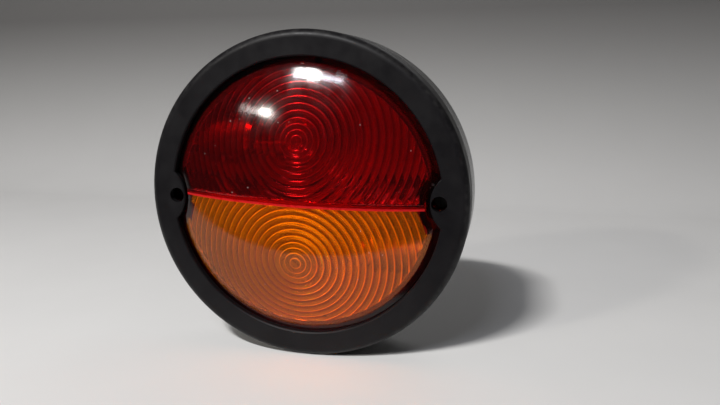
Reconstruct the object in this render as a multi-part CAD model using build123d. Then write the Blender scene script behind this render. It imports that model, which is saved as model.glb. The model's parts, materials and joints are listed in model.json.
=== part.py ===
from build123d import *
from math import asin, degrees, sqrt
import os

# Round two-colour rear lamp for a trailer: red stop and tail lamp above, amber indicator below.
# Millimetres. Each piece is drawn with X to the right, Y up and Z out of the lamp's front, from
# the rear mounting face at Z = 0. IN_ROW then stands the lamp up: front towards -Y and up along +Z.

# ---- drum ----
drum_r = 70.0  # outer radius of the housing and of the bezel ring
ring_face_z = 34.0  # front face of the bezel ring
split_z = 20.0  # where the housing's outer wall ends and the bezel begins
split_gap = 0.3
pad_t = 2.0  # rubber pad between the lamp and the vehicle
pad_r = 61.0
floor_t = 2.5
skin_t = 2.4  # outer wall of the housing
chamber_r = 61.0  # inside of the light chamber
chamber_wall = 3.4
land_t = 4.0  # shelf that joins the chamber wall to the outer wall
rear_edge_r = 1.2
rib_count = 16
rib_t = 1.6
rib_inset = 1.0  # from the floor and from the top of the outer wall
merge = 0.4  # how far a rib or boss runs into the wall it grows from

# ---- bezel ring ----
opening_r = 59.2
bezel_t = 3.0  # thickness of the ring's face
front_edge_r = 3.2
opening_edge = 0.5
bezel_skin = 2.6
locating_t = 1.2  # inner ring that centres the bezel on the chamber wall
locating_gap = 0.4
locating_start = 2.0  # above the housing's outer wall
lug_count = 4
lug_reach = 1.3
lug_w = 9.0
lug_t = 1.4

# ---- ears ----
screw_x = 57.7  # screw axes, either side of the lamp on its level centre line
ear_r = 14.0
ear_centre_x = 67.9
access_r = 3.25  # screwdriver hole in the bezel
ear_gap = 2.0  # between the ear's edge and the notch in the lens

# ---- lens ----
lens_edge_r = 56.4
edge_drop = 1.1  # lens edge below the ring's face
dome_rise = 13.0
lens_t = 2.6
flange_t = 2.8
flange_gap = 0.8  # between the flange and the ring that centres the bezel
colour_turn = -2.0  # degrees: the colour joint is a little off the level line
optic_offset = 25.4  # bulb and optic centres above and below the middle
rib_depth = 5.0
rib_w = 2.4
seam_below_centre = 1.0
well_depth = 11.8  # below the ring's face, to the seat of the sealing washer
well_gap = 0.25  # round the screw head
well_wall = 1.65
well_floor_t = 2.2
shank_hole_gap = 0.3

# ---- screws and their sealing washers ----
head_r = 2.8
head_t = 2.4
shank_r = 1.75
shank_len = 14.0
slot_w = 0.9
slot_depth = 1.1
washer_t = 0.8
washer_overhang = 0.1  # past the screw head
washer_bore_gap = 0.07
pilot_gap = 0.08
pilot_floor_t = 2.0  # solid left under the pilot hole
housing_boss_r = 5.0
boss_pocket_gap = 0.4  # round the lens's boss
boss_web_t = 4.0
boss_gap = 0.2

# ---- seal ----
seal_t = 2.0
seal_inner_inset = 0.3
seal_outer_inset = 1.2

# ---- fixing and cable entry ----
bolt_spacing = 45.0
bolt_hole_r = 3.25
sleeve_wall = 1.2
sleeve_flange_w = 3.75
sleeve_flange_t = 1.2
sleeve_rear_gap = 0.4
cable_r = 3.5
grommet_neck_r = 6.0
grommet_flange_r = 7.6
grommet_flange_t = 1.8
grommet_pad_gap = 0.3
grommet_sleeve_gap = 0.9
drain_r = 2.0
drain_y = -57.0

# ---- reflectors ----
reflector_t = 0.8
reflector_gap = 1.2  # to the chamber wall
reflector_wall_z = 15.0
band_half = 8.6  # half width of the bare strip between the reflectors
reflector_window_half = 9.0
reflector_window_gap = 0.5  # from the holder's end to the window

# ---- light divider ----
divider_t = 1.6
divider_half = 50.5
divider_gap = 1.2  # below the lens rib
divider_foot_z = 24.0
divider_leg_w = 3.0

# ---- bulbs: distances along the bulb from its filament, towards the glass tip ----
holder_headroom = 0.6  # between a bulb holder and the lens flange
ball_r = 12.5
glass_t = 0.7
neck_gap = 0.1  # between the glass neck and the cap
neck_flare = 0.3
neck_from = -20.0
glass_end = -24.0
cap_r = 7.5
cap_t = 0.5
cap_mouth = -21.0
cap_end = -37.6
base_end = -38.6
contact_t = 1.0
pin_at = -31.8
pin_r = 1.0
pin_reach = 1.0
pin_step = 3.0  # the two-filament bulb's lower pin sits this much nearer the glass
wire_r = 0.35
wire_y = 3.0
filament_r = 0.55
tail_filament_at = -4.5
tail_filament_z = 2.6
dot_pair_y = 3.2
dot_pair_r = 1.6
dot_single_r = 2.4

# ---- bulb holders ----
socket_gap = 0.3  # round the bulb's cap
socket_wall = 0.8
socket_mouth = -24.6
plunger_gap = 0.4
plunger_t = 2.0
plunger_head_t = 0.4
plunger_shank_r = 1.0
plunger_head_extra = 0.5
spring_len = 3.8
spring_gap = 2.4  # from the holder to the middle of the wire
spring_wire_r = 0.45
spring_turns = 2.0
spring_end_gap = 0.1
end_disc_t = 1.5
push_travel = 2.0
turn_travel = 20.0
slot_gap = 0.35
foot_half_w = 12.0
foot_t = 1.0
foot_from = -44.5
foot_to = -28.0
web_t = 1.0
web_half_w = 7.0
web_inset = 1.0  # from each end of the foot
rivet_r = 1.5
rivet_head_r = 2.2
rivet_head_t = 0.9
rivet_head_gap = 0.1
rivet_y = 9.4
rivet_at = -37.0

# ---- wiring ----
strip_t = 0.6
strip_w = 3.0
groove_depth = 0.8
groove_gap = 0.1
riser_clear = 3.2  # from the socket's end to the riser
blade_w = 6.3
blade_t = 0.8
blade_top_z = 18.5
blade_seat = 3.0  # of the wide blade inside the block
block_half_x = 13.0
block_half_y = 5.0
block_top_z = 11.5
blade_x = (-9.0, 0.0, 9.0)  # tail, stop and indicator feeds
feed_y_offset = 3.0
link_w = 5.0
link_x = -38.0
link_overlap = 4.0
link_blade_h = 8.0

# ---- worked out from the sizes above ----
IN_ROW = Rot(90, 0, 0)
floor_z = pad_t + floor_t
lens_edge_z = ring_face_z - edge_drop
bezel_under_z = ring_face_z - bezel_t
flange_rear_z = bezel_under_z - flange_t
rim_z = flange_rear_z - seal_t
dome_sphere_r = (lens_edge_r**2 + dome_rise**2) / (2 * dome_rise)
dome_centre_z = lens_edge_z + dome_rise - dome_sphere_r
inner_sphere_r = dome_sphere_r - lens_t
chamber_out_r = chamber_r + chamber_wall
locating_r = chamber_out_r + locating_gap
lug_tip_r = locating_r - lug_reach
flange_r = locating_r - flange_gap
notch_r = ear_r + ear_gap
well_floor_z = ring_face_z - well_depth
boss_foot_z = well_floor_z - well_floor_t
well_r = head_r + well_gap
boss_r = well_r + well_wall
pocket_r = boss_r + boss_pocket_gap
rib_low_z = pad_t + rib_inset
rib_high_z = split_z - rib_inset
shank_hole_r = shank_r + shank_hole_gap
washer_r = head_r + washer_overhang
washer_bore_r = shank_r + washer_bore_gap
pilot_r = shank_r + pilot_gap
housing_boss_top = boss_foot_z - boss_gap
screw_seat_z = well_floor_z + washer_t
sleeve_r = bolt_hole_r + sleeve_wall
sleeve_flange_r = bolt_hole_r + sleeve_flange_w
cable_x = bolt_spacing / 2 + sleeve_flange_r + grommet_flange_r + grommet_sleeve_gap
neck_r = cap_r - cap_t - neck_gap
neck_ball_r = neck_r + neck_flare
pin_tip_r = cap_r + pin_reach
socket_r = cap_r + socket_gap
socket_out_r = socket_r + socket_wall
plunger_r = socket_r - plunger_gap
spring_r = socket_r - spring_gap
bulb_z = flange_rear_z - holder_headroom - socket_out_r
contact_face = base_end - contact_t
plunger_back = contact_face - plunger_head_t - plunger_t
disc_front = plunger_back - spring_len
socket_end = disc_front - end_disc_t
riser_x = socket_end - riser_clear
window_x = socket_end - reflector_window_gap
foot_z = floor_z + reflector_t


def rod(r, z0, z1, x=0.0, y=0.0):
    """Round bar along the lamp's axis."""
    return Pos(x, y, (z0 + z1) / 2) * Cylinder(r, z1 - z0)


def ring(r_out, r_in, z0, z1, x=0.0, y=0.0):
    """Round tube along the lamp's axis."""
    return rod(r_out, z0, z1, x, y) - rod(r_in, z0 - 1, z1 + 1, x, y)


def block(x0, x1, y0, y1, z0, z1):
    """Box between two corners."""
    return Pos((x0 + x1) / 2, (y0 + y1) / 2, (z0 + z1) / 2) * Box(x1 - x0, y1 - y0, z1 - z0)


def bar(r, a0, a1, y=0.0, z=0.0):
    """Round bar along a bulb's axis."""
    return Pos((a0 + a1) / 2, y, z) * (Rot(0, 90, 0) * Cylinder(r, a1 - a0))


def at_upper(shape):
    """Puts a piece drawn on a bulb's own axis on the stop and tail bulb's axis."""
    return Pos(0, optic_offset, bulb_z) * shape


def at_lower(shape):
    """Puts a piece drawn on a bulb's own axis on the indicator bulb's axis, turned end for end."""
    return Rot(0, 0, 180) * at_upper(shape)


def save(shape, name):
    """Writes one named piece, standing as the lamp stands on a vehicle."""
    solids = [IN_ROW * s for s in shape.solids()]
    export_step(solids[0] if len(solids) == 1 else Compound(children=solids), f"parts/{name}.step")


def lens_outline(grow=0.0):
    """Round face with a notch at each ear, grown or shrunk all round."""
    face = Circle(lens_edge_r + grow)
    for side in (-1, 1):
        face -= Pos(side * ear_centre_x, 0) * Circle(notch_r - grow)
    return face


def prism(face, z0, z1):
    """A flat face carried from one height to another."""
    return extrude(Pos(0, 0, z0) * face, z1 - z0)


def flare(r, grow, z0, z1, x=0.0):
    """Round bar whose radius grows at 45 degrees, by the given sign, towards its top."""
    height = z1 - z0
    return Pos(x, 0, (z0 + z1) / 2) * Cone(r, r + grow * height, height)


def dome_ball(r):
    """Ball concentric with the dome."""
    return Pos(0, 0, dome_centre_z) * Sphere(r)


# ---- housing and what is fixed to it ----
def groove_runs(grow=0.0):
    """Floor runs of the three feed strips, from the terminal block to the riser behind each holder."""
    half = strip_w / 2 + grow
    top = floor_z if grow else floor_z - groove_gap
    z0 = top - (groove_depth if grow else strip_t)
    runs = []
    for x, y_end, turned in (
        (blade_x[0], optic_offset - feed_y_offset, False),
        (blade_x[1], optic_offset + feed_y_offset, False),
        (-blade_x[2], optic_offset, True),
    ):
        run = block(x - half, x + half, -half, y_end + half, z0, top)
        run += block(riser_x - strip_t - grow, x + half, y_end - half, y_end + half, z0, top)
        runs.append(Rot(0, 0, 180) * run if turned else run)
    return runs


def feed_strip(index):
    """One brass feed strip: blade, floor run, riser and tag on the holder's insulating disc."""
    run = groove_runs()[index]
    turned = index == 2
    x = blade_x[index]
    half = strip_w / 2
    y_end = optic_offset + (-feed_y_offset, feed_y_offset, 0.0)[index]
    low_z = floor_z - groove_gap - strip_t
    riser = block(riser_x - strip_t, riser_x, y_end - half, y_end + half, low_z, bulb_z + strip_t)
    riser += block(riser_x, socket_end, y_end - half, y_end + half, bulb_z, bulb_z + strip_t)
    shoulder_z = block_top_z - blade_seat
    blade = block(x - blade_w / 2, x + blade_w / 2, -blade_t / 2, blade_t / 2, shoulder_z, blade_top_z)
    blade += block(x - half, x + half, -blade_t / 2, blade_t / 2, low_z, shoulder_z)
    return run + (Rot(0, 0, 180) * riser if turned else riser) + blade


def housing():
    body = rod(drum_r, pad_t, split_z) - rod(drum_r - skin_t, pad_t - 1, split_z - land_t)
    rear_circles = body.edges().filter_by(GeomType.CIRCLE).sort_by(Axis.Z)[:2]
    body = fillet(rear_circles.sort_by(SortBy.RADIUS)[-1:], rear_edge_r)
    body += rod(chamber_out_r, pad_t, rim_z)
    body -= rod(chamber_r, floor_z, rim_z + 1)
    for i in range(rib_count):
        x0, x1 = chamber_out_r - merge, drum_r - skin_t + merge
        rib = block(x0, x1, -rib_t / 2, rib_t / 2, rib_low_z, rib_high_z)
        body += Rot(0, 0, (i + 0.5) * 360 / rib_count) * rib
    for side in (-1, 1):
        x = side * screw_x
        boss = rod(housing_boss_r, floor_z - merge, housing_boss_top, x)
        near, far = sorted((x, side * chamber_out_r))
        body += boss + block(near, far, -boss_web_t / 2, boss_web_t / 2, floor_z, housing_boss_top)
        body -= rod(pocket_r, housing_boss_top, rim_z + 1, x)
        body -= rod(pilot_r, floor_z + pilot_floor_t, housing_boss_top + 1, x)
        body -= rod(sleeve_r, 0, floor_z + 1, side * bolt_spacing / 2)
    body -= rod(grommet_neck_r, 0, floor_z + 1, cable_x)
    body -= rod(drain_r, 0, floor_z + 1, 0, drain_y)
    for groove in groove_runs(groove_gap):
        body -= groove
    for turn in (0, 180):
        for y in (-rivet_y, rivet_y):
            hole = rod(rivet_r, 0, floor_z + 1, rivet_at, optic_offset + y)
            hole += rod(rivet_head_r + rivet_head_gap, 0, pad_t + rivet_head_t, rivet_at, optic_offset + y)
            body -= Rot(0, 0, turn) * hole
    return body


def rear_pad():
    pad = rod(pad_r, 0, pad_t)
    for side in (-1, 1):
        pad -= rod(sleeve_r, -1, pad_t + 1, side * bolt_spacing / 2)
    pad -= rod(grommet_flange_r + grommet_pad_gap, -1, pad_t + 1, cable_x)
    return pad - rod(drain_r, -1, pad_t + 1, 0, drain_y)


def mount_sleeves():
    sleeves = []
    for side in (-1, 1):
        x = side * bolt_spacing / 2
        tube = ring(sleeve_r, bolt_hole_r, sleeve_rear_gap, floor_z, x)
        sleeves.append(tube + ring(sleeve_flange_r, bolt_hole_r, floor_z, floor_z + sleeve_flange_t, x))
    return Compound(children=sleeves)


def cable_grommet():
    body = rod(grommet_neck_r, pad_t, floor_z, cable_x)
    body += rod(grommet_flange_r, pad_t - grommet_flange_t, pad_t, cable_x)
    body += rod(grommet_flange_r, floor_z, floor_z + grommet_flange_t, cable_x)
    return body - rod(cable_r, -1, floor_z + grommet_flange_t + 1, cable_x)


def lens_seal():
    seal = ring(chamber_out_r - seal_outer_inset, chamber_r + seal_inner_inset, rim_z, flange_rear_z)
    for side in (-1, 1):
        seal -= rod(pocket_r, rim_z - 1, flange_rear_z + 1, side * screw_x)
    return seal


def reflector():
    """Bright tray round the upper bulb. The lower one is the same pressing, turned."""
    r = chamber_r - reflector_gap
    tray = rod(r, floor_z, reflector_wall_z)
    tray -= rod(r - reflector_t, floor_z + reflector_t, reflector_wall_z + 1)
    tray = tray & block(-r, r, band_half, r + 1, floor_z - 1, reflector_wall_z + 1)
    y0 = optic_offset - reflector_window_half
    tray -= block(-r - 1, window_x, y0, y0 + 2 * reflector_window_half, 0, reflector_wall_z + 1)
    for y in (-rivet_y, rivet_y):
        tray -= rod(rivet_r, 0, foot_z + 1, rivet_at, optic_offset + y)
    return tray - rod(drain_r, 0, foot_z + 1, 0, -drain_y)


def light_divider():
    half_t = divider_t / 2
    plate = block(-divider_half, divider_half, -half_t, half_t, floor_z, ring_face_z + dome_rise)
    plate = plate & dome_ball(inner_sphere_r - rib_depth - divider_gap)
    window_half = divider_half - divider_leg_w
    return plate - block(-window_half, window_half, -divider_t, divider_t, 0, divider_foot_z)


def terminal_block():
    body = block(-block_half_x, block_half_x, -block_half_y, block_half_y, floor_z, block_top_z)
    for x in blade_x:
        body -= block(
            x - blade_w / 2 - groove_gap,
            x + blade_w / 2 + groove_gap,
            -blade_t / 2 - groove_gap,
            blade_t / 2 + groove_gap,
            floor_z - 1,
            block_top_z + 1,
        )
    return body


def earth_link():
    half_y = band_half + link_overlap
    x0, x1 = link_x - link_w / 2, link_x + link_w / 2
    link = block(x0, x1, -half_y, half_y, foot_z, foot_z + blade_t)
    blade_y = -half_y / 2
    return link + block(x0, x1, blade_y, blade_y + blade_t, foot_z, foot_z + link_blade_h)


def socket_rivets():
    rivets = []
    for turn in (0, 180):
        for y in (-rivet_y, rivet_y):
            x, y_at = rivet_at, optic_offset + y
            body = rod(rivet_r, pad_t, foot_z + foot_t + rivet_head_t, x, y_at)
            body += rod(rivet_head_r, foot_z + foot_t, foot_z + foot_t + rivet_head_t, x, y_at)
            body += rod(rivet_head_r, pad_t, pad_t + rivet_head_t, x, y_at)
            rivets.append(Rot(0, 0, turn) * body)
    return Compound(children=rivets)


# ---- bulb holders, drawn on a bulb's own axis ----
def sector(a0, a1, from_deg, to_deg):
    """Piece of the holder's wall between two places along it and two angles about it."""
    r0, r1 = socket_r - merge, socket_out_r + merge
    face = Plane.XY * Pos((a0 + a1) / 2, (r0 + r1) / 2) * Rectangle(a1 - a0, r1 - r0)
    return Rot(from_deg, 0, 0) * revolve(face, Axis.X, to_deg - from_deg)


def pin_slot(at, facing):
    """Way in, turn and push of one bayonet pin, for a pin that rests at the angle it faces."""
    half = pin_r + slot_gap
    half_deg = degrees(asin((pin_r + slot_gap) / socket_r))
    window = sector(at - push_travel - half, at + half, facing - half_deg, facing + turn_travel + half_deg)
    way_in = sector(
        at - half, socket_mouth + 1, facing + turn_travel - half_deg, facing + turn_travel + half_deg
    )
    return window + way_in


def socket(step):
    """Steel shell with two pin slots, side webs and a foot. The second pin sits a step nearer the mouth."""
    shell = bar(socket_out_r, socket_end, socket_mouth)
    low_z = foot_z - bulb_z
    top_z = low_z + foot_t
    web = block(foot_from + web_inset, foot_to - web_inset, -web_half_w, web_half_w, top_z, 0)
    inner = web_half_w - web_t
    web -= block(foot_from, foot_to, -inner, inner, low_z, 1)
    foot = block(foot_from, foot_to, -foot_half_w, foot_half_w, low_z, top_z)
    shell = shell + web + foot - bar(socket_r, socket_end - 1, socket_mouth + 1)
    for y in (-rivet_y, rivet_y):
        shell -= rod(rivet_r, low_z - 1, top_z + 1, rivet_at, y)
    shell -= pin_slot(pin_at, 0)
    return shell - pin_slot(pin_at + step, 180)


def end_disc():
    return bar(socket_r, socket_end, disc_front)


def plunger(dots):
    """Insulating slider that the bulb's contacts press on. Its own contacts are set in it."""
    body = bar(plunger_r, plunger_back, contact_face - plunger_head_t)
    for y in dots:
        body -= bar(plunger_shank_r, plunger_back - 1, contact_face, y)
    return body


def plunger_contacts(dots, r):
    pieces = []
    for y in dots:
        head = bar(r, contact_face - plunger_head_t, contact_face, y)
        pieces.append(head + bar(plunger_shank_r, plunger_back, contact_face - plunger_head_t, y))
    return Compound(children=pieces)


def contact_spring():
    height = spring_len - 2 * spring_wire_r - 2 * spring_end_gap
    path = Helix(height / spring_turns, height, spring_r)
    wire = Plane(origin=path @ 0, z_dir=path % 0) * Circle(spring_wire_r)
    coil = sweep(wire, path=path, is_frenet=True)
    return Pos(disc_front + spring_wire_r + spring_end_gap, 0, 0) * (Rot(0, 90, 0) * coil)


# ---- bulbs, drawn on their own axis ----
def bulb_glass():
    def ball_at(r, y):
        return -sqrt(r**2 - y**2)

    inner = ball_r - glass_t
    neck_in = neck_r - glass_t
    neck_ball_in = neck_ball_r - glass_t
    outline = ThreePointArc((ball_r, 0), (0, ball_r), (ball_at(ball_r, neck_ball_r), neck_ball_r))
    outline += Polyline(
        (ball_at(ball_r, neck_ball_r), neck_ball_r),
        (neck_from, neck_r),
        (glass_end, neck_r),
        (glass_end, neck_in),
        (neck_from, neck_in),
        (ball_at(inner, neck_ball_in), neck_ball_in),
    )
    outline += ThreePointArc((ball_at(inner, neck_ball_in), neck_ball_in), (0, inner), (inner, 0))
    outline += Line((inner, 0), (ball_r, 0))
    return revolve(make_face(outline), Axis.X)


def bulb_cap(step):
    body = bar(cap_r, cap_end, cap_mouth) - bar(cap_r - cap_t, cap_end - 1, cap_mouth + 1)
    for side, at in ((1, pin_at), (-1, pin_at + step)):
        y0, y1 = sorted((side * (cap_r - cap_t), side * pin_tip_r))
        body += Pos(at, (y0 + y1) / 2, 0) * (Rot(90, 0, 0) * Cylinder(pin_r, y1 - y0))
    return body


def bulb_base():
    """Black glass end and the cement that holds the bulb in its cap."""
    return bar(cap_r - cap_t, base_end, glass_end)


def bulb_contacts(dots, r):
    return Compound(children=[bar(r, contact_face, base_end, y) for y in dots])


def filament_set(places):
    """Coiled filaments, each across its own pair of support wires. Places are along and off the axis."""
    sets = []
    for at, z in places:
        wires = bar(wire_r, glass_end, at, -wire_y, z) + bar(wire_r, glass_end, at, wire_y, z)
        coil = Pos(at, 0, z) * (Rot(90, 0, 0) * Cylinder(filament_r, 2 * wire_y + 2 * wire_r))
        sets.append(wires + coil)
    return Compound(children=sets)


# ---- lens unit ----
def bezel_ring():
    body = rod(drum_r, split_z + split_gap, ring_face_z)
    body = fillet(body.edges().filter_by(GeomType.CIRCLE).sort_by(Axis.Z)[-1:], front_edge_r)
    body -= rod(drum_r - bezel_skin, 0, bezel_under_z)
    body += ring(locating_r + locating_t, locating_r, split_z + locating_start, bezel_under_z + merge)
    hole = Circle(opening_r)
    for side in (-1, 1):
        hole -= Pos(side * ear_centre_x, 0) * Circle(ear_r)
    body -= prism(hole, bezel_under_z - 1, ring_face_z - opening_edge)
    bevel = flare(opening_r, 1, ring_face_z - opening_edge, ring_face_z + 1)
    for side in (-1, 1):
        bevel -= flare(ear_r, -1, ring_face_z - opening_edge, ring_face_z + 1, side * ear_centre_x)
    body -= bevel
    for i in range(lug_count):
        half_w = lug_w / 2
        lug = block(lug_tip_r, locating_r + merge, -half_w, half_w, flange_rear_z - lug_t, flange_rear_z)
        body += Rot(0, 0, (i + 0.5) * 360 / lug_count) * lug
    for side in (-1, 1):
        body -= rod(access_r, bezel_under_z - 1, ring_face_z + 1, side * screw_x)
    return body


def lens_blank():
    """Both colours together: dome, edge wall, flange and the two screw wells."""
    top = ring_face_z + dome_rise + 1
    body = prism(lens_outline(), flange_rear_z, top) & dome_ball(dome_sphere_r)
    body += prism(Circle(flange_r), flange_rear_z, bezel_under_z)
    for side in (-1, 1):
        body += rod(boss_r, boss_foot_z, bezel_under_z, side * screw_x)
    hollow = prism(lens_outline(-lens_t), flange_rear_z - 1, top) & dome_ball(inner_sphere_r)
    rib = Rot(0, 0, colour_turn) * block(
        -lens_edge_r, lens_edge_r, -seam_below_centre, rib_w - seam_below_centre, flange_rear_z, top
    )
    hollow -= rib - dome_ball(inner_sphere_r - rib_depth)
    body -= hollow
    for side in (-1, 1):
        body -= rod(well_r, well_floor_z, bezel_under_z + 1, side * screw_x)
        body -= rod(shank_hole_r, boss_foot_z - 1, well_floor_z + 1, side * screw_x)
    return body


def amber_zone():
    """Space below the colour joint and above the foot of the dome's edge."""
    seam_z = dome_centre_z + sqrt(inner_sphere_r**2 - (lens_edge_r - lens_t) ** 2)
    zone = block(-drum_r, drum_r, -drum_r, -seam_below_centre, seam_z, ring_face_z + 2 * dome_rise)
    return Rot(0, 0, colour_turn) * zone


def lens_screw(side):
    body = rod(head_r, screw_seat_z, screw_seat_z + head_t, side * screw_x)
    body += rod(shank_r, screw_seat_z - shank_len, screw_seat_z, side * screw_x)
    top = screw_seat_z + head_t
    half = slot_w / 2
    return body - block(
        side * screw_x - half, side * screw_x + half, -head_r - 1, head_r + 1, top - slot_depth, top + 1
    )


def screw_washer(side):
    return ring(washer_r, washer_bore_r, well_floor_z, screw_seat_z, side * screw_x)


os.makedirs("parts", exist_ok=True)

save(housing(), "housing")
save(rear_pad(), "rear_pad")
save(mount_sleeves(), "mount_sleeves")
save(cable_grommet(), "cable_grommet")
save(lens_seal(), "lens_seal")
save(reflector(), "upper_reflector")
save(Rot(0, 0, 180) * reflector(), "lower_reflector")
save(light_divider(), "light_divider")
save(terminal_block(), "terminal_block")
save(feed_strip(0), "tail_feed_strip")
save(feed_strip(1), "stop_feed_strip")
save(feed_strip(2), "indicator_feed_strip")
save(earth_link(), "earth_link")
save(socket_rivets(), "socket_rivets")

pair = (-dot_pair_y, dot_pair_y)
single = (0.0,)
for name, place, step, dots, dot_r, filaments in (
    ("stop_tail", at_upper, pin_step, pair, dot_pair_r, ((0.0, 0.0), (tail_filament_at, tail_filament_z))),
    ("indicator", at_lower, 0.0, single, dot_single_r, ((0.0, 0.0),)),
):
    save(place(socket(step)), f"{name}_socket")
    save(place(end_disc()), f"{name}_socket_disc")
    save(place(contact_spring()), f"{name}_spring")
    save(place(plunger(dots)), f"{name}_plunger")
    save(place(plunger_contacts(dots, dot_r + plunger_head_extra)), f"{name}_plunger_contacts")
    save(place(bulb_glass()), f"{name}_bulb_glass")
    save(place(bulb_cap(step)), f"{name}_bulb_cap")
    save(place(bulb_base()), f"{name}_bulb_base")
    save(place(bulb_contacts(dots, dot_r)), f"{name}_bulb_contacts")
    save(place(filament_set(filaments)), f"{name}_bulb_filaments")

blank = lens_blank()
save(bezel_ring(), "bezel_ring")
save(blank - amber_zone(), "red_lens")
save(blank & amber_zone(), "amber_lens")
for side, name in ((-1, "left"), (1, "right")):
    save(lens_screw(side), f"{name}_lens_screw")
    save(screw_washer(side), f"{name}_screw_washer")
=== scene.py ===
import json
import math

import bmesh
import bpy
import numpy as np
from mathutils import Matrix, Quaternion, Vector


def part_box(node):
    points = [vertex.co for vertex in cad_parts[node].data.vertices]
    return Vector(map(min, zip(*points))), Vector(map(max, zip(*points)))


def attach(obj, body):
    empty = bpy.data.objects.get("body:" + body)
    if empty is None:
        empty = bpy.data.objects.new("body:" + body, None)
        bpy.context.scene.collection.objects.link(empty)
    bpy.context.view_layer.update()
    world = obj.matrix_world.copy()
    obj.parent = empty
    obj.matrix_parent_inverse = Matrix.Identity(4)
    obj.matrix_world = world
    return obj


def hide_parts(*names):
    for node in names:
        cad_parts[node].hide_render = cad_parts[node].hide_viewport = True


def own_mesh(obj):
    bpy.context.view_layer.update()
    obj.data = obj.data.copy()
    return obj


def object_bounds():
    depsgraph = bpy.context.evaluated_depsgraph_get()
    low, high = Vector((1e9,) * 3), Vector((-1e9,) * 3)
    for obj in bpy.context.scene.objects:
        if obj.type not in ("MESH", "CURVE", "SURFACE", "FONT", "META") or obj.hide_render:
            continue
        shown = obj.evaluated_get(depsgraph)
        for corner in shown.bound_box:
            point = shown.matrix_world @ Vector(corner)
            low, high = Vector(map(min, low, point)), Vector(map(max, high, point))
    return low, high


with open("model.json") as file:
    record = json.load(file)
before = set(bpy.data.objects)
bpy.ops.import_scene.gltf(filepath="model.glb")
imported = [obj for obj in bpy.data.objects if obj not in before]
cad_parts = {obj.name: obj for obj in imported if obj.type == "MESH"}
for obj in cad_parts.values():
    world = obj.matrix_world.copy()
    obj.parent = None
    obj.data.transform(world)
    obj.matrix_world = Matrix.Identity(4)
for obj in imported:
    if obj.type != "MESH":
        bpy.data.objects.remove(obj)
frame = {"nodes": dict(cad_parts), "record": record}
cad_low, cad_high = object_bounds()
SLOT_OF = {part["node"]: part["material_slot"] for part in frame["record"]["subparts"]}

MM = 0.001

# ---- places taken from the frame ----
RING_FACE_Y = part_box("bezel_ring")[0].y
DOME_TOP_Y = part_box("red_lens")[0].y
DRUM_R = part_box("bezel_ring")[1].x
FLOOR_Z = cad_low.z
PAPER_FRONT = RING_FACE_Y - 81 * MM  # nearer than this the floor is kept out of the gloss

# ---- lens, as it is moulded ----
EDGE_R = 56.4 * MM
EDGE_Y = RING_FACE_Y + 1.1 * MM
FLANGE_Y = RING_FACE_Y + 3.0 * MM  # front of the flange that the bezel clamps
DOME_R = (EDGE_R**2 + (EDGE_Y - DOME_TOP_Y) ** 2) / (2 * (EDGE_Y - DOME_TOP_Y))
DOME_Y = DOME_TOP_Y + DOME_R  # centre of the dome's ball
WALL_T = 2.6 * MM
SKIN_T = 1.2 * MM  # between the outside and the bottom of the ring grooves
EDGE_ROUND = ((0.5 * MM, 0.0), (0.16 * MM, 0.07 * MM), (0.0, 0.3 * MM))  # inwards and down, towards the edge
NOTCH_X = 67.9 * MM
NOTCH_R = 16.0 * MM
NOTCH_MARGIN = 2.8 * MM  # width of the deep red band beside each notch
SPLIT_GAP = 0.01 * MM

# ---- colour joint and optic centres ----
JOINT_TURN = math.radians(-2.0)
JOINT_UP = np.array([-math.sin(JOINT_TURN), math.cos(JOINT_TURN)])
JOINT_ALONG = np.array([math.cos(JOINT_TURN), math.sin(JOINT_TURN)])
OPTIC_OFFSET = 25.4 * MM
RIB_LOW = -1.0 * MM
RIB_HIGH = 1.4 * MM
# The lip's brightness along the joint is partly a bond line and partly a painted glow.
RIB_LIP = -0.1 * MM  # top of the bright lip along the joint
RIB_DEPTH = 5.0 * MM

# ---- ring optics ----
CORE_PITCH = 2.3 * MM
CORE_RINGS = 4
CORE_R = CORE_PITCH * CORE_RINGS
RING_PITCH = 2.85 * MM
RING_DEPTH = 1.4 * MM
CORE_DEPTH = 0.7 * MM
RING_SWELL = 1.7  # 1 is a straight facet, 2 a rounded one
RISER_W = 0.34 * MM
RING_STEPS = 5  # facets across one ring's rounded face
HEADINGS = 432
# The thin, bright and the thick, dark ring colours are partly painted light and shade, not only the plastic's
# depth.
THIN_UNDER = 0.5  # share of the ring's depth under which the plastic looks thin and bright
THICK_OVER = 0.9

# ---- flutes, and how finely the long parts of the lens are divided ----
FLUTE_PITCH = 1.15 * MM
FLUTE_R = 0.38 * MM
FLUTE_SHORT = 0.3 * MM  # a flute's height is this much less than the edge wall's
FLUTE_SIDES = 10
FLUTE_LINE_STEPS = 240
PAST_NOTCH = 0.02  # turn, in radians, by which the flutes stop short of a notch
RIB_STEPS = 90

# ---- contact springs and filaments ----
COIL_STEPS = 36  # points in each turn
WIRE_SIDES = 12
SPRING_WIRE_R = 0.45 * MM
SPRING_TURNS = 2.0
BULB_Y = -19.0 * MM
WIRE_FOOT = 24.0 * MM  # where a support wire starts, from the middle of the lamp
WIRE_OFF = 3.0 * MM
WIRE_R = 0.35 * MM
FILAMENT_TURNS = 9.0
FILAMENT_R = 0.42 * MM
FILAMENT_WIRE_R = 0.11 * MM
MAIN_FILAMENT = (0.0, 0.0)  # along the bulb and off its axis
TAIL_FILAMENT = (-4.5 * MM, 2.6 * MM)

# ---- paper and lamps round the object ----
PAPER_HALF_W = 1.5
PAPER_NEAR_Y = -1.5
PAPER_BACK_Y = 0.45
PAPER_TOP_Z = 1.2
COVE_R = 0.16
COVE_STEPS = 16
# The backdrop's darkening upward is painted shade in the paper's colour, not made by the lamps.
BACKDROP_SHADE_RISE = 190 * MM  # height over which the backdrop darkens
LAMP_AWAY = 1.2
ROOM_LIGHT = 0.03
ROOM_SEEN = 0.3  # how bright the room looks past the paper, which lights nothing


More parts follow.
